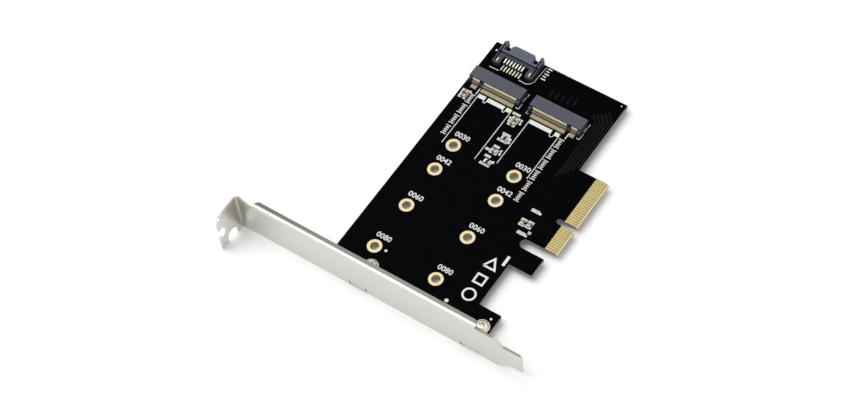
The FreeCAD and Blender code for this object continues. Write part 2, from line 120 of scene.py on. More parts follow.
class Wiring:
    """The nodes of one material, group or world, with short calls that place and link them."""

    def __init__(self, tree):
        self.nodes = tree.nodes
        self.links = tree.links

    def feed(self, socket, value):
        """Gives a socket a plain value, or links another node's output to it."""
        if isinstance(value, bpy.types.NodeSocket):
            self.links.new(value, socket)
        else:
            socket.default_value = value

    def add(self, kind, **values):
        node = self.nodes.new(kind)
        for label, value in values.items():
            self.feed(node.inputs[label], value)
        return node

    def place(self):
        """The surface point's own coordinates, by axis."""
        coordinates = self.add("ShaderNodeTexCoord").outputs["Object"]
        return self.add("ShaderNodeSeparateXYZ", Vector=coordinates).outputs

    def facing(self):
        """The direction that the surface faces, by axis."""
        normal = self.add("ShaderNodeTexCoord").outputs["Normal"]
        return self.add("ShaderNodeSeparateXYZ", Vector=normal).outputs

    def math(self, kind, first, second=0.0):
        node = self.add("ShaderNodeMath")
        node.operation = kind
        self.feed(node.inputs[0], first)
        self.feed(node.inputs[1], second)
        return node.outputs[0]

    def ramp(self, value, to_low, to_high, from_low=0.0, from_high=1.0, smooth=False):
        """A value carried from one range to another and held at its ends."""
        node = self.add("ShaderNodeMapRange", Value=value)
        if smooth:
            node.interpolation_type = "SMOOTHSTEP"
        for label, end in (("From Min", from_low), ("From Max", from_high),
                           ("To Min", to_low), ("To Max", to_high)):
            self.feed(node.inputs[label], end)
        return node.outputs["Result"]

    def mix(self, share, first, second):
        """First colour where the share is 0 and second where it is 1."""
        node = self.add("ShaderNodeMix")
        node.data_type = "RGBA"
        self.feed(node.inputs["Factor"], share)
        for label, colour in (("A", first), ("B", second)):
            plain = isinstance(colour, tuple)
            self.feed(node.inputs[label], rgba(colour) if plain else colour)
        return node.outputs["Result"]

    def group(self, group, **values):
        node = self.add("ShaderNodeGroup")
        node.node_tree = group
        for label, value in values.items():
            self.feed(node.inputs[label], value)
        return node.outputs

    def tones(self, mask, first, second):
        """Two near colours drifting into each other by a mask."""
        return self.group(TWO_TONE, Mask=mask, First=rgba(first), Second=rgba(second))["Colour"]


def new_group(name, inputs, outputs):
    """Empty node group with named sockets, its wiring, and what goes in and comes out."""
    group = bpy.data.node_groups.new(name, "ShaderNodeTree")
    for label, kind, value in inputs:
        socket = group.interface.new_socket(label, in_out="INPUT", socket_type=kind)
        socket.default_value = value
    for label, kind in outputs:
        group.interface.new_socket(label, in_out="OUTPUT", socket_type=kind)
    wire = Wiring(group)
    return group, wire, wire.add("NodeGroupInput").outputs, wire.add("NodeGroupOutput").inputs


def make_fine_grain():
    """Small uneven spots: a mask around one half, and a normal that follows them."""
    group, wire, given, out = new_group(
        "fine_grain",
        [("Scale", "NodeSocketFloat", 900.0), ("Depth", "NodeSocketFloat", 0.1)],
        [("Spots", "NodeSocketFloat"), ("Normal", "NodeSocketVector")])
    place = wire.add("ShaderNodeTexCoord").outputs["Object"]
    noise = wire.add("ShaderNodeTexNoise", Vector=place, Scale=given["Scale"], Detail=4.0)
    spots = noise.outputs["Fac"]
    bump = wire.add("ShaderNodeBump", Distance=0.02 * MM, Strength=given["Depth"], Height=spots)
    wire.feed(out["Spots"], spots)
    wire.feed(out["Normal"], bump.outputs["Normal"])
    return group


def make_drawn_lines():
    """Fine lines left along one direction by rolling or brushing."""
    group, wire, given, out = new_group(
        "drawn_lines",
        [("Stretch", "NodeSocketVector", (60.0, 9000.0, 9000.0)),
         ("Depth", "NodeSocketFloat", 0.1)],
        [("Lines", "NodeSocketFloat"), ("Normal", "NodeSocketVector")])
    stretched = wire.add("ShaderNodeVectorMath")
    stretched.operation = "MULTIPLY"
    wire.feed(stretched.inputs[0], wire.add("ShaderNodeTexCoord").outputs["Object"])
    wire.feed(stretched.inputs[1], given["Stretch"])
    noise = wire.add("ShaderNodeTexNoise", Vector=stretched.outputs[0], Scale=1.0, Detail=2.0)
    lines = noise.outputs["Fac"]
    bump = wire.add("ShaderNodeBump", Distance=0.01 * MM, Strength=given["Depth"], Height=lines)
    wire.feed(out["Lines"], lines)
    wire.feed(out["Normal"], bump.outputs["Normal"])
    return group


def make_two_tone():
    """One colour drifting into another by a mask."""
    group, wire, given, out = new_group(
        "two_tone",
        [("Mask", "NodeSocketFloat", 0.5), ("Low", "NodeSocketFloat", 0.35),
         ("High", "NodeSocketFloat", 0.65), ("First", "NodeSocketColor", (0, 0, 0, 1)),
         ("Second", "NodeSocketColor", (1, 1, 1, 1))],
        [("Colour", "NodeSocketColor")])
    share = wire.ramp(given["Mask"], 0.0, 1.0, given["Low"], given["High"])
    wire.feed(out["Colour"], wire.mix(share, given["First"], given["Second"]))
    return group


def make_span():
    """A value carried from one end to another by a mask."""
    group, wire, given, out = new_group(
        "span",
        [("Mask", "NodeSocketFloat", 0.5), ("From", "NodeSocketFloat", 0.0),
         ("To", "NodeSocketFloat", 1.0)],
        [("Value", "NodeSocketFloat")])
    wire.feed(out["Value"], wire.ramp(given["Mask"], given["From"], given["To"], 0.3, 0.7))
    return group


FINE_GRAIN = make_fine_grain()
DRAWN_LINES = make_drawn_lines()
TWO_TONE = make_two_tone()
SPAN = make_span()


def start_material(name, metallic=0.0, roughness=0.5, shine=0.5):
    """New material, its wiring and the inputs of its shader."""
    material = bpy.data.materials.new(name)
    material.use_nodes = True
    shader = material.node_tree.nodes["Principled BSDF"].inputs
    shader["Metallic"].default_value = metallic
    shader["Roughness"].default_value = roughness
    shader["Specular IOR Level"].default_value = shine
    return material, Wiring(material.node_tree), shader


def grained(name, first, second, rough, metallic=0.0, scale=900.0, depth=0.1, shine=0.5):
    """A surface of two near colours with small spots, used for most pieces."""
    material, wire, shader = start_material(name, metallic, shine=shine)
    grain = wire.group(FINE_GRAIN, Scale=scale, Depth=depth)
    smooth_end, rough_end = rough
    span = wire.group(SPAN, Mask=grain["Spots"], From=smooth_end, To=rough_end)
    wire.feed(shader["Base Color"], wire.tones(grain["Spots"], first, second))
    wire.feed(shader["Roughness"], span["Value"])
    wire.feed(shader["Normal"], grain["Normal"])
    return material


def make_board_material():
    """Black mask on both faces, bare laminate on cut edges and between the edge contacts."""
    material, wire, shader = start_material("board_black_mask", shine=MASK_SHINE)
    grain = wire.group(FINE_GRAIN, Scale=700.0, Depth=0.05)
    mask = wire.tones(grain["Spots"], (0.0007, 0.0008, 0.0013), (0.0013, 0.0014, 0.0022))
    bare = wire.tones(grain["Spots"], (0.22, 0.17, 0.07), (0.28, 0.22, 0.09))
    edge = wire.tones(grain["Spots"], (0.25, 0.23, 0.23), (0.31, 0.29, 0.28))
    place = wire.place()
    on_tab = wire.math("GREATER_THAN", place["X"], ZERO_X + CONTACT_INNER * MM)
    past_hook = wire.math("GREATER_THAN", place["Y"], ZERO_Y + HOOK_END * MM)
    bare_here = wire.math("MULTIPLY", on_tab, past_hook)
    upright = wire.math("ABSOLUTE", wire.facing()["Z"])
    cut_side = wire.math("LESS_THAN", upright, LEVEL)
    # the plating goes on past the short contacts and over the bevel, up to a paler line at the tip
    # painted as a highlight of the lit bevel
    near_tip = wire.math("GREATER_THAN", place["X"], board_high.x - PLATING_RUN * MM)
    first_gap = ZERO_Y + (CONTACT_START - CONTACT_PITCH / 2) * MM
    along = wire.math("SUBTRACT", place["Y"], first_gap)
    along = wire.math("FRACT", wire.math("DIVIDE", along, CONTACT_PITCH * MM))
    off_middle = wire.math("ABSOLUTE", wire.math("SUBTRACT", along, 0.5))
    on_contact = wire.math("LESS_THAN", off_middle, CONTACT_HALF / CONTACT_PITCH)
    plated = wire.math("MULTIPLY", near_tip, on_contact)
    tip_highlight = wire.math("GREATER_THAN", place["X"], board_high.x - TIP_HIGHLIGHT_REACH * MM)
    tab = wire.mix(plated, bare, PLATED_TAB)
    tab = wire.mix(tip_highlight, tab, TIP_HIGHLIGHT_GOLD)
    face = wire.mix(bare_here, mask, tab)
    wire.feed(shader["Base Color"], wire.mix(cut_side, face, edge))
    unmasked = wire.math("MAXIMUM", cut_side, bare_here)
    wire.feed(shader["Roughness"], wire.ramp(unmasked, MASK_ROUGH, BARE_ROUGH))
    wire.feed(shader["Normal"], grain["Normal"])
    return material


def make_bracket_material():
    """Zinc-plated sheet steel, rolled along its length; painted shade round the bend where the end
    is turned out, painted light on the turned-out end, and a painted dark reflection on the lip.
    """
    material, wire, shader = start_material("bracket_zinc_plate", metallic=0.85)
    lines = wire.group(DRAWN_LINES, Stretch=(50.0, 5000.0, 5000.0), Depth=0.008)
    sheet = wire.tones(lines["Lines"], (0.60, 0.61, 0.575), (0.615, 0.625, 0.59))
    place = wire.place()
    along = wire.math("ABSOLUTE", wire.math("SUBTRACT", place["X"], bend_x))
    outward = wire.math("ABSOLUTE", wire.math("SUBTRACT", place["Y"], bend_y))
    # painted light: the turned-out end gets a lighter colour
    on_flange = wire.math("LESS_THAN", place["X"], bend_x + FLANGE_REACH * MM)
    sheet = wire.mix(on_flange, sheet, FLANGE_PAINTED_LIGHT)
    # painted shade round the bend: a tan reflection and shade that darken the sheet there
    width = wire.math("ADD", wire.math("MULTIPLY", place["Z"], BEND_SHADE_SPREAD), BEND_SHADE_START * MM)
    away = wire.math("DIVIDE", wire.math("ADD", along, outward), width)
    bend_shade = wire.ramp(away, BEND_SHADE_SHARE, 0.0, *BEND_SHADE_FADE, smooth=True)
    sheet = wire.mix(bend_shade, sheet, BEND_PAINTED_SHADE)
    # painted shade: the lip's top is darker towards the turned-out end, for the dark surroundings
    # it mirrors
    on_lip = wire.math("GREATER_THAN", wire.facing()["Z"], LIP_LEVEL)
    past_bend = wire.math("GREATER_THAN", along, LIP_START * MM)
    dark = wire.ramp(along, *LIP_SHARE, 0.0, LIP_REACH * MM)
    dark = wire.math("MULTIPLY", wire.math("MULTIPLY", on_lip, dark), past_bend)
    wire.feed(shader["Base Color"], wire.mix(dark, sheet, LIP_SHADE))
    span = wire.group(SPAN, Mask=lines["Lines"], From=0.28, To=0.30)
    wire.feed(shader["Roughness"], span["Value"])
    wire.feed(shader["Normal"], lines["Normal"])
    return material


def moulded(name, top_level, tone, shade_share):
    """Slate plastic with painted light: lit on the upper faces above a level, and painted near
    black as shade on its sides.

    The upper faces below that level take a share of the tone, as painted shade.
    """
    material, wire, shader = start_material(name)
    grain = wire.group(FINE_GRAIN, Scale=2600.0, Depth=0.15)
    upper = wire.tones(grain["Spots"], shaded(tone, 0.85), shaded(tone, 1.15))
    faces_up = wire.math("GREATER_THAN", wire.facing()["Z"], LEVEL)
    above = wire.math("GREATER_THAN", wire.place()["Z"], BOARD_TOP + top_level * MM)
    # painted shade: near black on the sides, a share of the tone on the low upward faces
    lower = wire.mix(faces_up, PLASTIC_PAINTED_SHADE, shaded(tone, shade_share))
    lit = wire.math("MULTIPLY", faces_up, above)
    wire.feed(shader["Base Color"], wire.mix(lit, lower, upper))
    wire.feed(shader["Normal"], grain["Normal"])
    return material


def banded(name, bands, first, metallic):
    """Contact metal whose tone changes past levels of height or depth, in millimetres; the bands
    hold painted shade and painted highlights.
    """
    material, wire, shader = start_material(name, metallic, roughness=0.4)
    grain = wire.group(FINE_GRAIN, Scale=1500.0, Depth=0.05)
    place = wire.place()
    colour = first
    for axis, level, tone in bands:
        zero = BOARD_TOP if axis == "Z" else ZERO_Y
        past = wire.math("GREATER_THAN", place[axis], zero + level * MM)
        colour = wire.mix(past, colour, tone)
    wire.feed(shader["Base Color"], colour)
    wire.feed(shader["Normal"], grain["Normal"])
    return material


def make_ring_material():
    """Pale gold on the flat rings, brown down the bores: the bores' plating, darkened with painted
    shade.
    """
    material, wire, shader = start_material("ring_pale_gold", metallic=0.45, roughness=0.42)
    grain = wire.group(FINE_GRAIN, Scale=1400.0, Depth=0.08)
    flat = wire.tones(grain["Spots"], (0.66, 0.58, 0.33), (0.74, 0.67, 0.43))
    upright = wire.math("ABSOLUTE", wire.facing()["Z"])
    on_ring = wire.math("GREATER_THAN", upright, LEVEL)
    wire.feed(shader["Base Color"], wire.mix(on_ring, BORE_BROWN, flat))
    wire.feed(shader["Normal"], grain["Normal"])
    return material


def make_edge_contact_material():
    """Gold plating, with the mask drawn over the contacts' inner ends."""
    material, wire, shader = start_material("edge_contact_gold", roughness=MASK_ROUGH,
                                            shine=MASK_SHINE)
    grain = wire.group(FINE_GRAIN, Scale=1500.0, Depth=0.05)
    gold = wire.tones(grain["Spots"], (0.56, 0.45, 0.20), (0.615, 0.51, 0.25))
    plated = wire.math("GREATER_THAN", wire.place()["X"], ZERO_X + CONTACT_INNER * MM)
    wire.feed(shader["Base Color"], wire.mix(plated, MASK_OVER_GOLD, gold))
    wire.feed(shader["Metallic"], wire.math("MULTIPLY", plated, 0.4))
    wire.feed(shader["Normal"], grain["Normal"])
    return material


board_black = make_board_material()
edge_gold = make_edge_contact_material()
bracket_zinc = make_bracket_material()
contact_gold = grained("contact_gold", (0.60, 0.49, 0.23), (0.66, 0.56, 0.30), (0.36, 0.48),
                       metallic=0.4, scale=1500.0, depth=0.05)
ring_gold = make_ring_material()
matt_tin = grained("matt_tin", (0.58, 0.58, 0.55), (0.70, 0.70, 0.67), (0.28, 0.45),
                   metallic=1.0, scale=2500.0, depth=0.15)
# pale tin, painted lighter as the glints on the locks' tops
lock_tin_glint = grained("lock_tin_painted_glint", (0.80, 0.80, 0.78), (0.88, 0.88, 0.86), (0.3, 0.4),
                   metallic=0.3, scale=2000.0, depth=0.1)
solder_tin = grained("solder_bright", (0.72, 0.70, 0.63), (0.84, 0.82, 0.75), (0.22, 0.34),
                     metallic=0.4, scale=1800.0, depth=0.1)
screw_nickel = grained("screw_nickel", (0.78, 0.70, 0.58), (0.86, 0.80, 0.69), (0.16, 0.26),
                       metallic=0.9, scale=1200.0, depth=0.05)
socket_slate = moulded("socket_slate", top_level=1.6, tone=(0.054, 0.057, 0.078),
                       shade_share=0.15)
header_slate = moulded("header_slate", top_level=3.0, tone=(0.074, 0.081, 0.118),
                       shade_share=0.45)
# painted shade on the upright legs, and a painted highlight on the hooks under the roof
upper_contact_gold = banded("upper_contact_gold",
                            (("Z", 0.4, (0.12, 0.09, 0.05)), ("Z", 1.3, (1.0, 0.94, 0.72))),
                            (0.66, 0.62, 0.40), metallic=0.0)
# painted shade in the dark bands under the roof, among the contacts' own tones
lower_contact_gold = banded("lower_contact_gold",
                            (("Z", 0.3, (0.55, 0.44, 0.17)), ("Z", 0.8, (0.10, 0.07, 0.04)),
                             ("Z", 1.15, (0.72, 0.52, 0.42)), ("Y", 76.55, (0.05, 0.035, 0.02)),
                             ("Y", 76.85, (0.42, 0.28, 0.14)), ("Y", 77.25, (0.03, 0.02, 0.01))),
                            (0.80, 0.76, 0.50), metallic=0.2)
# painted shade on the pins' upright legs
header_pin_tin = banded("header_pin_tin",
                        (("Z", 0.3, (0.05, 0.04, 0.03)), ("Z", 1.55, (0.92, 0.92, 0.90))),
                        (0.78, 0.75, 0.58), metallic=0.3)
tan_ceramic = grained("chip_tan_ceramic", (0.22, 0.155, 0.075), (0.33, 0.25, 0.14), (0.35, 0.5),
                      scale=3000.0, depth=0.1)
black_glaze = grained("chip_black_glaze", (0.012, 0.012, 0.014), (0.022, 0.022, 0.026),
                      (0.25, 0.4), scale=3000.0, depth=0.1)
print_white = grained("print_white", (0.64, 0.64, 0.62), (0.72, 0.72, 0.70), (0.5, 0.65),
                      scale=4000.0, depth=0.1)
track_black = grained("track_under_mask", (0.0015, 0.0015, 0.0022), (0.0026, 0.0026, 0.0036),
                      (0.40, 0.5), scale=900.0, depth=0.05, shine=0.09)

for node_name, material in (
        ("circuit_board", board_black), ("edge_contacts_top", edge_gold),
        ("edge_contacts_bottom", edge_gold), ("module_hole_platings", ring_gold),
        ("left_socket_housing", socket_slate), ("right_socket_housing", socket_slate),
        ("left_socket_lower_contacts", lower_contact_gold),
        ("left_socket_upper_contacts", upper_contact_gold),
        ("right_socket_lower_contacts", lower_contact_gold),
        ("right_socket_upper_contacts", upper_contact_gold),
        ("left_socket_hold_downs", matt_tin), ("right_socket_hold_downs", matt_tin),
        ("cable_header_housing", header_slate), ("cable_header_contacts", header_pin_tin),
        ("cable_header_board_locks", lock_tin_glint), ("slot_bracket", bracket_zinc),
        ("bracket_screws", screw_nickel), ("capacitor_bodies", tan_ceramic),
        ("capacitor_end_caps", solder_tin), ("resistor_bodies", black_glaze),
        ("resistor_end_caps", solder_tin), ("test_pad", ring_gold)):
    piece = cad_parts[node_name]
    piece.data.materials.clear()
    piece.data.materials.append(material)


# Shapes laid on the board

def at(u, v, z=BOARD_TOP):
    """Place on the card, in millimetres from its zero, as a point in the frame."""
    return Vector((ZERO_X + u * MM, ZERO_Y + v * MM, z))


def finish_piece(mesh, name, material):
    """New piece on the root, with its material."""
    piece = bpy.data.objects.new(name, mesh)
    bpy.context.scene.collection.objects.link(piece)
    piece.data.materials.append(material)
    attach(piece, "root")
    return piece


class Layer:
    """Thin flat shapes of one material on the component face, kept as one mesh."""

    def __init__(self, height=PRINT_HEIGHT):
        self.mesh = bmesh.new()
        self.height = height

    def shape(self, points):
        """Flat plate with the given outline."""
        low = [self.mesh.verts.new(at(u, v)) for u, v in points]
        high = [self.mesh.verts.new(at(u, v, BOARD_TOP + self.height)) for u, v in points]
        count = len(points)
        self.mesh.faces.new(high)
        self.mesh.faces.new(low[::-1])
        for i in range(count):
            j = (i + 1) % count
            self.mesh.faces.new((low[i], low[j], high[j], high[i]))

    def rectangle(self, u0, v0, u1, v1):
        self.shape([(u0, v0), (u1, v0), (u1, v1), (u0, v1)])

    def frame(self, u0, v0, u1, v1, line):
        """Rectangle drawn with a line of the given width."""
        self.rectangle(u0, v0, u1, v0 + line)
        self.rectangle(u0, v1 - line, u1, v1)
        self.rectangle(u0, v0 + line, u0 + line, v1 - line)
        self.rectangle(u1 - line, v0 + line, u1, v1 - line)

    def disc(self, u, v, radius, sides=20):
        turn = 2 * math.pi / sides
        self.shape([(u + radius * math.cos(i * turn), v + radius * math.sin(i * turn))
                    for i in range(sides)])

    def arc(self, u, v, radius, line, start, end, steps):
        """Part of a ring from one angle to another, in degrees."""
        outer, inner = radius + line / 2, radius - line / 2
        for i in range(steps):
            a, b = (math.radians(start + (end - start) * k / steps) for k in (i, i + 1))
            self.shape([(u + inner * math.cos(a), v + inner * math.sin(a)),
                        (u + outer * math.cos(a), v + outer * math.sin(a)),
                        (u + outer * math.cos(b), v + outer * math.sin(b)),
                        (u + inner * math.cos(b), v + inner * math.sin(b))])

    def line(self, points, width):
        """Ribbon along a path, with mitred corners."""
        left, right = [], []
        for i, (u, v) in enumerate(points):
            before = points[max(i - 1, 0)]
            after = points[min(i + 1, len(points) - 1)]
            sides = []
            for (ua, va), (ub, vb) in ((before, (u, v)), ((u, v), after)):
                run = math.hypot(ub - ua, vb - va)
                if run > 0:
                    sides.append((-(vb - va) / run, (ub - ua) / run))
            nu = sum(s[0] for s in sides) / len(sides)
            nv = sum(s[1] for s in sides) / len(sides)
            reach = width / 2 / (nu * nu + nv * nv)
            left.append((u + nu * reach, v + nv * reach))
            right.append((u - nu * reach, v - nv * reach))
        for i in range(len(points) - 1):
            self.shape([right[i], right[i + 1], left[i + 1], left[i]])

    def add_number(self, text, u, v, size):
        """A plain number, slightly bold, whose middle is at the given place."""
        font = bpy.data.curves.new("number", "FONT")
        font.body = text
        font.size = size * MM
        font.align_x = "CENTER"
        font.align_y = "CENTER"
        font.offset = 0.012 * size * MM
        font.extrude = self.height / 2
        font.resolution_u = 3
        carrier = bpy.data.objects.new("number", font)
        bpy.context.scene.collection.objects.link(carrier)
        carrier.location = at(u, v, BOARD_TOP + self.height / 2)
        bpy.context.view_layer.update()
        solid = bpy.data.meshes.new_from_object(
            carrier.evaluated_get(bpy.context.evaluated_depsgraph_get()))
        solid.transform(carrier.matrix_world)
        self.mesh.from_mesh(solid)
        bpy.data.objects.remove(carrier)
        bpy.data.meshes.remove(solid)

    def done(self, name, material):
        bmesh.ops.recalc_face_normals(self.mesh, faces=self.mesh.faces)
        mesh = bpy.data.meshes.new(name)
        self.mesh.to_mesh(mesh)
        self.mesh.free()
        return finish_piece(mesh, name, material)


LINE = 0.28                       # width of a printed line

# Left side, right side and low end of each module's outline, then the blocks across its top
MODULE_OUTLINES = ((-4.4, 9.8, 49.0, ((-4.4, -1.4), (-0.5, 6.8), (7.6, 9.8))),
                   (17.7, 30.5, 51.5, ((17.7, 27.2), (28.5, 30.5))))
OUTLINE_TOP = 73.9
BLOCK_DEPTH = 1.7
ROUND_DROP = 2.1                  # from the top to the middle of the round between two blocks


def print_module_places():
    """Outline of a module beside each column, with white blocks where its contacts go."""
    layer = Layer()
    for left, right, low, blocks in MODULE_OUTLINES:
        for u in (left, right):
            layer.rectangle(u - LINE / 2, low, u + LINE / 2, OUTLINE_TOP)
        for a, b in blocks:
            layer.rectangle(a, OUTLINE_TOP - BLOCK_DEPTH, b, OUTLINE_TOP)
        for (_, a), (b, _) in zip(blocks, blocks[1:]):
            middle, radius = (a + b) / 2, (b - a) / 2 + LINE / 4
            layer.arc(middle, OUTLINE_TOP - ROUND_DROP, radius, LINE, 180, 360, 10)
            for u in (middle - radius, middle + radius):
                layer.rectangle(u - LINE / 2, OUTLINE_TOP - ROUND_DROP,
                                u + LINE / 2, OUTLINE_TOP - BLOCK_DEPTH)
    return layer.done("print_module_places", print_white)


NUMBER_SIZE = 3.05
NUMBER_ACROSS, NUMBER_UP = 0.75, 4.8     # from the middle of a hole to the middle of its number


def print_numbers():
    """Module length in millimetres above each screw hole."""
    layer = Layer()
    for column in (0.0, MODULE_PITCH):
        for length, row in HOLE_ROWS:
            layer.add_number(f"{length:04d}", column + NUMBER_ACROSS, row + NUMBER_UP,
                             NUMBER_SIZE)
    return layer.done("print_length_numbers", print_white)


SCALES = ((-6.3, 52.4, 4), (32.2, 41.6, 6))     # u, lowest v and number of groups
GROUP_STEP = 5.3
TICKS = 5                         # in one group
TICK_STEP = 0.95
TICK_HEIGHT = 0.38
LONG_TICK, SHORT_TICK = 2.1, 1.5
SPINE_HALF = 0.16                 # half the width of the line that joins a group
END_BAR = (0.6, 73.0, 1.0, 76.0)  # upright bar beside the scale's top


def print_scales():
    """A plain scale up the outer side of each module place, in groups of five ticks."""
    layer = Layer()
    for u, low, groups in SCALES:
        for group in range(groups):
            start = low + group * GROUP_STEP
            for i in range(TICKS):
                v = start + i * TICK_STEP
                reach = LONG_TICK if i in (0, TICKS - 1) else SHORT_TICK
                layer.rectangle(u - reach / 2, v, u + reach / 2, v + TICK_HEIGHT)
            layer.rectangle(u - SPINE_HALF, start, u + SPINE_HALF,
                            start + (TICKS - 1) * TICK_STEP + TICK_HEIGHT)
        left, bottom, right, top = END_BAR
        layer.rectangle(u + left, bottom, u + right, top)
    return layer.done("print_side_scales", print_white)


SOCKET_HALF = 11.45               # from a socket's middle to the line at its end
SOCKET_HOOK = 1.3                 # short line in from that one, at its low end
SOCKET_HOOK_V = 75.3
SOCKET_SPANS = ((75.6, 78.2), (81.4, 83.0))     # v of the lines, with a gap for the solder


def print_socket_outlines():
    """Lines at the ends of the sockets, apart from the left one's outer end."""
    layer = Layer()
    for middle, side in ((0.0, 1), (MODULE_PITCH, -1), (MODULE_PITCH, 1)):
        edge = middle + side * SOCKET_HALF
        for low, high in SOCKET_SPANS:
            layer.rectangle(edge - LINE / 2, low, edge + LINE / 2, high)
        inner = edge - side * SOCKET_HOOK
        layer.rectangle(min(edge, inner), SOCKET_HOOK_V, max(edge, inner), SOCKET_HOOK_V + LINE)
    return layer.done("print_socket_outlines", print_white)


HEADER_LEFT = ((-8.2, 86.1), (-4.2, 86.2))
HEADER_RIGHT = ((4.5, 86.3), (7.7, 86.2), (9.0, 87.0), (9.9, 88.4), (9.9, 90.3), (10.3, 96.3))
RUNGS = 5                         # ladder beside the header
RUNG_LEFT, RUNG_RIGHT, RUNG_LOW = 11.0, 12.9, 90.9
RUNG_STEP, RUNG_HEIGHT, RUNG_SHORTER = 1.25, 0.5, 0.5


def print_header_outline():
    """Line round the cable header and a plain ladder beside it."""
    layer = Layer()
    layer.line(HEADER_LEFT, LINE)
    layer.line(HEADER_RIGHT, LINE)
    for i in range(RUNGS):
        v = RUNG_LOW + i * RUNG_STEP
        layer.rectangle(RUNG_LEFT, v, RUNG_RIGHT - RUNG_SHORTER * (i % 2), v + RUNG_HEIGHT)
    return layer.done("print_header_outline", print_white)


MARK_LINE = 0.75                  # width of the lines that draw the marks
MARK_U = 39.4                     # middle of the ring, the square and the triangle
RING_V, RING_REACH = 0.9, 2.3
SQUARE_LOW, SQUARE_SIDE = 5.7, 4.4
TRIANGLE_LOW, TRIANGLE_HIGH, TRIANGLE_HALF = 13.4, 17.6, 2.3
MARK_BAR = (42.5, 16.6, 43.6, 21.0)
DOTS = ((51.4, -3.5, 0.45), (-9.9, 93.6, 0.4))      # u, v, radius
SMALL_BLOCKS = ((4.1, 0.0, 5.0, 0.9), (42.7, 95.3, 43.1, 95.9))


def print_edge_marks():
    """Plain ring, square, triangle and bar beside the hook, and small dots elsewhere."""
    layer = Layer()
    layer.arc(MARK_U, RING_V, RING_REACH, MARK_LINE, 0, 360, 36)
    left, right = MARK_U - SQUARE_SIDE / 2, MARK_U + SQUARE_SIDE / 2
    layer.frame(left, SQUARE_LOW, right, SQUARE_LOW + SQUARE_SIDE, MARK_LINE)
    first_corner = (MARK_U - TRIANGLE_HALF, TRIANGLE_LOW)
    layer.line([first_corner, (MARK_U + TRIANGLE_HALF, TRIANGLE_LOW), (MARK_U, TRIANGLE_HIGH),
                first_corner], MARK_LINE)
    layer.rectangle(*MARK_BAR)
    for u, v, radius in DOTS:
        layer.disc(u, v, radius)
    for corners in SMALL_BLOCKS:
        layer.rectangle(*corners)
    return layer.done("print_edge_marks", print_white)


FLAT_CHIPS = ((-9.4, 72.0), (-9.3, 70.1), (13.1, 70.9), (12.9, 68.9), (14.0, 55.3), (14.4, 61.9),
              (14.5, 50.2))       # middles of the chips that lie across
UPRIGHT_CHIPS = ((39.3, 35.4), (42.0, 35.6))
# Small blocks beside the chips: left end, v, blocks in a row, rows
LABEL_BLOCKS = ((-8.0, 72.3, 1, 1), (-8.4, 69.4, 1, 1), (10.6, 72.6, 4, 1), (15.0, 71.0, 1, 2),
                (10.6, 70.2, 1, 2), (12.4, 63.2, 4, 1), (12.0, 60.2, 5, 1), (16.0, 62.0, 1, 2),
                (12.6, 57.0, 3, 1), (10.6, 54.6, 2, 1), (15.9, 56.1, 1, 2), (12.0, 52.0, 3, 1),
                (12.0, 48.4, 5, 1), (16.1, 50.6, 1, 1))
JOINED_BLOCKS = ((39.1, 40.9), (39.6, 30.6))    # rows of blocks that touch: left end, v
CHIP_LINE = 0.4
CHIP_HALF = 0.95                  # half the width of the frame round a chip
FRAME_NEAR = 0.35                 # from the chip's middle to the open side of each half frame
FLAT_FAR, UPRIGHT_FAR = 1.35, 1.4     # and to its closed side
LABEL_LINE = 0.3
BLOCK_STEP, BLOCK_WIDTH, BLOCK_HEIGHT = 0.85, 0.7, 1.05
ROW_STEP, ROW_SHIFT = 1.35, 0.25
JOINED_COUNT, JOINED_STEP, JOINED_WIDTH, JOINED_HEIGHT = 5, 0.8, 0.84, 1.3
LAST_HEIGHT = 0.9                 # the last joined block is lower
LONE_BLOCK = (43.2, 32.2, 44.3, 33.3)


def print_chip_labels():
    """Two half frames round each chip, and small plain blocks where parts are numbered."""
    layer = Layer()
    for u, v in FLAT_CHIPS:
        for side in (-1, 1):
            near, far = u + side * FRAME_NEAR, u + side * FLAT_FAR
            layer.line([(near, v - CHIP_HALF), (far, v - CHIP_HALF), (far, v + CHIP_HALF),
                        (near, v + CHIP_HALF)], CHIP_LINE)
    for u, v in UPRIGHT_CHIPS:
        for side in (-1, 1):
            near, far = v + side * FRAME_NEAR, v + side * UPRIGHT_FAR
            layer.line([(u - CHIP_HALF, near), (u - CHIP_HALF, far), (u + CHIP_HALF, far),
                        (u + CHIP_HALF, near)], CHIP_LINE)
    for u, v, count, rows in LABEL_BLOCKS:
        for row in range(rows):
            for i in range(count):
                low = v - row * ROW_STEP
                left = u + i * BLOCK_STEP + ROW_SHIFT * (row % 2)
                layer.frame(left, low, left + BLOCK_WIDTH, low + BLOCK_HEIGHT, LABEL_LINE)
    for u, v in JOINED_BLOCKS:
        for i in range(JOINED_COUNT):
            left = u + i * JOINED_STEP
            height = JOINED_HEIGHT if i < JOINED_COUNT - 1 else LAST_HEIGHT
            layer.frame(left, v, left + JOINED_WIDTH, v + height, LABEL_LINE)
    layer.frame(*LONE_BLOCK, LABEL_LINE)
    return layer.done("print_chip_labels", print_white)


TRACKS = 5
TRACK_U, TRACK_PITCH = 38.9, 1.2  # the first track's place across and the step to the next
TRACK_UPPER, UPPER_STEP = 84.4, 0.8
TRACK_LOWER, LOWER_STEP = 57.5, 1.8
TRACK_WIDTH = 0.75
TRACK_RUN_IN = 3.0                # the slanting start of a track, across and up
BARS = 5                          # above the right socket
BAR_U, BAR_PITCH = 18.0, 2.4
BAR_LOW, BAR_STEP = 85.6, 0.3
BAR_LENGTH, BAR_WIDTH = 3.2, 0.8
FINE_LINES = 4                    # between the sockets
FINE_U, FINE_PITCH, FINE_WIDTH = 13.9, 0.62, 0.3
FINE_UPPER, FINE_LOWER, FINE_STEP = 84.0, 76.0, 0.4
FINE_OUT, OUT_STEP = 1.2, 0.3     # how far their slanting ends go across, less each time
FINE_DROP = 1.4


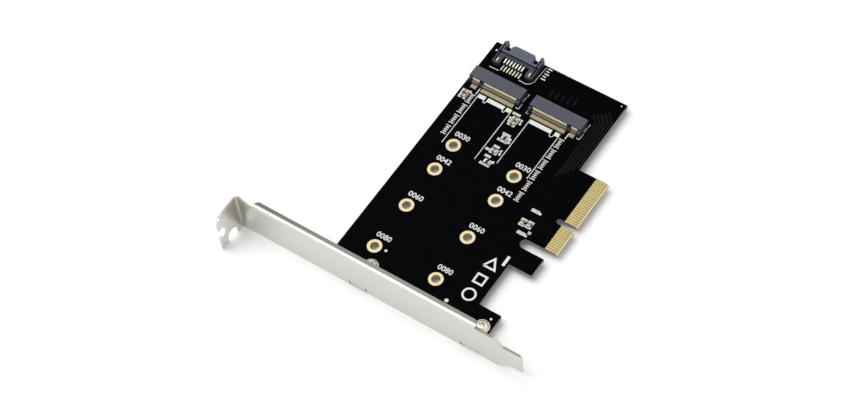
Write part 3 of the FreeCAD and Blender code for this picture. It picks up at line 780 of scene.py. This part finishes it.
def copper_tracks():
    """Raised tracks under the mask: a bundle to the edge contacts, bars and fine lines."""
    layer = Layer(height=TRACK_HEIGHT)
    for i in range(TRACKS):
        across = TRACK_U + i * TRACK_PITCH
        upper = TRACK_UPPER + i * UPPER_STEP
        lower = TRACK_LOWER + i * LOWER_STEP
        layer.line([(across - TRACK_RUN_IN, upper + TRACK_RUN_IN), (across, upper),
                    (across, lower)], TRACK_WIDTH)
    for i in range(BARS):
        u, low = BAR_U + i * BAR_PITCH, BAR_LOW + i * BAR_STEP
        layer.line([(u, low), (u, low + BAR_LENGTH)], BAR_WIDTH)
    for i in range(FINE_LINES):
        u, lower = FINE_U + i * FINE_PITCH, FINE_LOWER - i * FINE_STEP
        end = (u - FINE_OUT + i * OUT_STEP, lower - FINE_DROP)
        layer.line([(u, FINE_UPPER), (u, lower), end], FINE_WIDTH)
    return layer.done("copper_tracks", track_black)


PIN_COUNT, PIN_MIDDLE = 75, 38    # contacts in a socket, and the one in its middle
PIN_STEP = 0.25
SOCKET_KEYS = ((0.0, (12, 19)), (MODULE_PITCH, (59, 66)))    # middle, contacts left out at the key


def socket_pins():
    """Number and place across of each contact in both sockets."""
    for middle, (key_first, key_last) in SOCKET_KEYS:
        for number in range(1, PIN_COUNT + 1):
            if not key_first <= number <= key_last:
                yield number, middle + (number - PIN_MIDDLE) * PIN_STEP


PAD_HALF = 0.15                   # half the side of a square pad
FRONT_PADS, REAR_PADS = 74.6, 83.6    # v of their near sides


def socket_pads():
    """Plated pads under the soldered ends of the module sockets."""
    layer = Layer(height=PAD_HEIGHT)
    for number, u in socket_pins():
        v = REAR_PADS if number % 2 else FRONT_PADS
        layer.rectangle(u - PAD_HALF, v, u + PAD_HALF, v + 2 * PAD_HALF)
    return layer.done("socket_solder_pads", contact_gold)


TIP_WIDTH, TIP_DEPTH = 0.46, 0.12
TIP_LOW, TIP_HIGH = 1.5, 2.39     # above the board
TIP_PROUD = 0.14                  # how far the tips stand forward of the solid contacts
TIP_FRONT = (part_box("left_socket_upper_contacts")[0][1] - ZERO_Y) / MM - TIP_PROUD


def socket_contact_tips():
    """Flattened front ends of the upper contacts, seen under the edge of each roof."""
    mesh = bmesh.new()
    for number, u in socket_pins():
        if number % 2 == 0:
            continue
        low = at(u - TIP_WIDTH / 2, TIP_FRONT, BOARD_TOP + TIP_LOW * MM)
        high = at(u + TIP_WIDTH / 2, TIP_FRONT + TIP_DEPTH, BOARD_TOP + TIP_HIGH * MM)
        added = bmesh.ops.create_cube(mesh, size=1.0)["verts"]
        bmesh.ops.scale(mesh, verts=added, vec=high - low)
        bmesh.ops.translate(mesh, verts=added, vec=(low + high) / 2)
    tips = bpy.data.meshes.new("socket_contact_tips")
    mesh.to_mesh(tips)
    mesh.free()
    # the tips carry the upper contacts' painted highlight band
    return finish_piece(tips, "socket_contact_tips", upper_contact_gold)


# Screws of the bracket

HEAD_RADIUS = 2.9                 # of the solid heads, which give the middle of each screw
HEAD_HEIGHT = 1.7
# Radius and height up the rim, the step inside it and the dome
HEAD_PROFILE = ((2.72, 0.0), (2.88, 0.12), (2.88, 0.3), (2.74, 0.42), (2.30, 0.44), (2.16, 0.62),
                (2.02, 0.98), (1.78, 1.28), (1.36, 1.52), (0.80, 1.65), (0.30, 1.69), (0.0, 1.69))
SHANK_RADIUS = 1.2
SHANK_SIDES = 24
SHANK_TOP = 0.02                  # the shank ends just inside the head
RECESS_TOP = (2.1, 0.55)          # length and width of one arm of the cross, at its mouth
RECESS_BOTTOM = (0.7, 0.35)
RECESS_DEPTH = 0.8
CLEAR = 0.2                       # how far the cutter stands out of the head
SCREW_TURNS = (20.0, 62.0)        # how each cross is turned, in degrees
SHARP_EDGE = 40.0                 # edges over this many degrees stay crisp
screw_low, screw_high = (Vector(c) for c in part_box("bracket_screws"))
SCREW_CENTRES = (Vector((screw_low.x + HEAD_RADIUS * MM, screw_high.y - HEAD_RADIUS * MM, 0)),
                 Vector((screw_high.x - HEAD_RADIUS * MM, screw_low.y + HEAD_RADIUS * MM, 0)))


def turned(profile, sides=40):
    """Solid turned about the upright axis from radius and height pairs, bottom closed."""
    mesh = bmesh.new()
    rings = []
    for radius, z in profile:
        if radius == 0:
            rings.append([mesh.verts.new((0, 0, z * MM))])
            continue
        turn = 2 * math.pi / sides
        rings.append([mesh.verts.new((radius * MM * math.cos(i * turn),
                                      radius * MM * math.sin(i * turn), z * MM))
                      for i in range(sides)])
    for lower, upper in zip(rings, rings[1:]):
        for i in range(sides):
            j = (i + 1) % sides
            if len(upper) == 1:
                mesh.faces.new((lower[i], lower[j], upper[0]))
            else:
                mesh.faces.new((lower[i], lower[j], upper[j], upper[i]))
    mesh.faces.new(rings[0][::-1])
    return mesh


def block(mesh, sides, low, high):
    """Box on the upright axis, tapering from its upper side lengths to its lower ones."""
    (upper_x, upper_y), (lower_x, lower_y) = sides
    corners = []
    for half_x, half_y, z in ((lower_x / 2, lower_y / 2, low), (upper_x / 2, upper_y / 2, high)):
        corners.append([mesh.verts.new((x * half_x * MM, y * half_y * MM, z * MM))
                        for x, y in ((-1, -1), (1, -1), (1, 1), (-1, 1))])
    bottom, top = corners
    mesh.faces.new(bottom[::-1])
    mesh.faces.new(top)
    for i in range(4):
        j = (i + 1) % 4
        mesh.faces.new((bottom[i], bottom[j], top[j], top[i]))


def loose_object(mesh, name):
    """Object made of a mesh under construction, which is used up."""
    data = bpy.data.meshes.new(name)
    mesh.to_mesh(data)
    mesh.free()
    thing = bpy.data.objects.new(name, data)
    bpy.context.scene.collection.objects.link(thing)
    return thing


def cut_away(body, tool):
    """Mesh of the body with the tool's space cut out of it. Both are used up."""
    cut = body.modifiers.new("cut", "BOOLEAN")
    cut.operation = "DIFFERENCE"
    cut.solver = "EXACT"
    cut.object = tool
    bpy.context.view_layer.update()
    result = bpy.data.meshes.new_from_object(
        body.evaluated_get(bpy.context.evaluated_depsgraph_get()))
    for thing in (body, tool):
        bpy.data.objects.remove(thing)
    return result


def make_screws():
    """Both screws as one piece: domed heads with a cross recess, each turned its own way."""
    head = loose_object(turned(HEAD_PROFILE), "head")
    for angle in (0, 90):
        cutter = bmesh.new()
        block(cutter, (RECESS_TOP, RECESS_BOTTOM), HEAD_HEIGHT - RECESS_DEPTH,
              HEAD_HEIGHT + CLEAR)
        bmesh.ops.rotate(cutter, cent=(0, 0, 0), verts=cutter.verts,
                         matrix=Matrix.Rotation(math.radians(angle), 3, "Z"))
        shape = cut_away(head, loose_object(cutter, "recess"))
        head = bpy.data.objects.new("head", shape)
        bpy.context.scene.collection.objects.link(head)
    shank = turned(((SHANK_RADIUS, (screw_low.z - BOARD_TOP) / MM), (SHANK_RADIUS, SHANK_TOP),
                    (0.0, SHANK_TOP)), SHANK_SIDES)
    shank_data = bpy.data.meshes.new("shank")
    shank.to_mesh(shank_data)
    shank.free()
    both = bmesh.new()
    for centre, turn in zip(SCREW_CENTRES, SCREW_TURNS):
        before = len(both.verts)
        both.from_mesh(head.data)
        both.from_mesh(shank_data)
        both.verts.ensure_lookup_table()
        added = both.verts[before:]
        bmesh.ops.rotate(both, cent=(0, 0, 0), verts=added,
                         matrix=Matrix.Rotation(math.radians(turn), 3, "Z"))
        bmesh.ops.translate(both, verts=added, vec=(centre.x, centre.y, BOARD_TOP))
    bpy.data.objects.remove(head)
    mesh = bpy.data.meshes.new("bracket_screw_heads")
    both.to_mesh(mesh)
    both.free()
    for face in mesh.polygons:
        face.use_smooth = True
    piece = finish_piece(mesh, "bracket_screw_heads", screw_nickel)
    crisp = piece.modifiers.new("edges", "EDGE_SPLIT")
    crisp.split_angle = math.radians(SHARP_EDGE)
    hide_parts("bracket_screws")


make_screws()
socket_contact_tips()
print_module_places()
print_numbers()
print_scales()
print_socket_outlines()
print_header_outline()
print_edge_marks()
print_chip_labels()
copper_tracks()
socket_pads()


# Floor, light and camera

FLOOR_HALF = 3.0                  # metres
FLOOR_GLOW = 0.06                 # share of plain white in what the camera sees of the floor
AIR_LEVEL = 0.6                   # even light from all around
CARD_HALF = 0.75                  # metres
CARD_LEVEL = 0.20                 # brightness of the grey card over the set


def flat_sheet(name, half):
    """Square sheet with a material that has no nodes yet."""
    mesh = bpy.data.meshes.new(name)
    mesh.from_pydata([(-half, -half, 0), (half, -half, 0), (half, half, 0), (-half, half, 0)],
                     [], [(0, 1, 2, 3)])
    sheet = bpy.data.objects.new(name, mesh)
    bpy.context.scene.collection.objects.link(sheet)
    material = bpy.data.materials.new(name)
    material.use_nodes = True
    material.node_tree.nodes.clear()
    mesh.materials.append(material)
    return sheet, Wiring(material.node_tree)


def make_floor():
    floor, wire = flat_sheet("studio_floor", FLOOR_HALF)
    diffuse = wire.add("ShaderNodeBsdfDiffuse", Color=rgba((0.93, 0.93, 0.93)))
    glow = wire.add("ShaderNodeEmission", Color=rgba((1, 1, 1)), Strength=1.0)
    path = wire.add("ShaderNodeLightPath").outputs
    seen = wire.math("MAXIMUM", path["Is Camera Ray"], path["Is Glossy Ray"])
    both = wire.add("ShaderNodeMixShader", Fac=wire.math("MULTIPLY", seen, FLOOR_GLOW))
    wire.feed(both.inputs[1], diffuse.outputs[0])
    wire.feed(both.inputs[2], glow.outputs[0])
    wire.add("ShaderNodeOutputMaterial", Surface=both.outputs[0])


def make_world():
    """White to the camera, also by way of gloss or glass, and an even grey light elsewhere."""
    world = bpy.data.worlds.new("studio_air")
    world.use_nodes = True
    wire = Wiring(world.node_tree)
    air = world.node_tree.nodes["Background"].inputs
    path = wire.add("ShaderNodeLightPath").outputs
    seen = wire.math("MAXIMUM", path["Is Camera Ray"], path["Is Transmission Ray"])
    seen = wire.math("MAXIMUM", seen, path["Is Glossy Ray"])
    wire.feed(air["Color"], rgba((1, 1, 1)))
    wire.feed(air["Strength"], wire.ramp(seen, AIR_LEVEL, 1.0))
    bpy.context.scene.world = world


def make_dark_card():
    """Grey board over the back of the set, seen only in shiny surfaces that face up."""
    card, wire = flat_sheet("dark_card", CARD_HALF)
    card.location = (-0.53, 0.64, 1.25)
    card.rotation_euler = (-card.location).to_track_quat("-Z", "Y").to_euler()
    glow = wire.add("ShaderNodeEmission", Color=rgba((1.0, 0.97, 0.93)), Strength=CARD_LEVEL)
    wire.add("ShaderNodeOutputMaterial", Surface=glow.outputs[0])
    for kind in ("camera", "diffuse", "transmission", "volume_scatter", "shadow"):
        setattr(card, "visible_" + kind, False)


def make_lamp(name, place, size, power):
    """Soft lamp turned towards the middle of the frame; place and size in metres."""
    data = bpy.data.lights.new(name, "AREA")
    data.shape = "RECTANGLE"
    data.size, data.size_y = size
    data.energy = power
    lamp = bpy.data.objects.new(name, data)
    bpy.context.scene.collection.objects.link(lamp)
    lamp.location = place
    lamp.rotation_euler = (-Vector(place)).to_track_quat("-Z", "Y").to_euler()


def make_camera():
    """The photograph's view, fitted to the screw holes and the edges of the board."""
    data = bpy.data.cameras.new("photo_camera")
    data.sensor_width = 36.0
    data.lens = 104.26
    data.shift_x = 0.001
    data.shift_y = -0.0053
    camera = bpy.data.objects.new("photo_camera", data)
    camera.location = (0.3105, -0.3738, 0.73817)
    camera.rotation_euler = Euler([math.radians(a) for a in (33.07, 4.573, 34.12)])
    bpy.context.scene.collection.objects.link(camera)
    bpy.context.scene.camera = camera


make_floor()
make_world()
make_dark_card()
make_lamp("soft_left", (-0.65, -0.12, 1.4), (1.3, 1.3), 19.0)
make_lamp("soft_front", (-0.42, -1.0, 0.5), (0.3, 0.14), 0.6)
make_camera()
bpy.context.scene.view_settings.view_transform = "Standard"
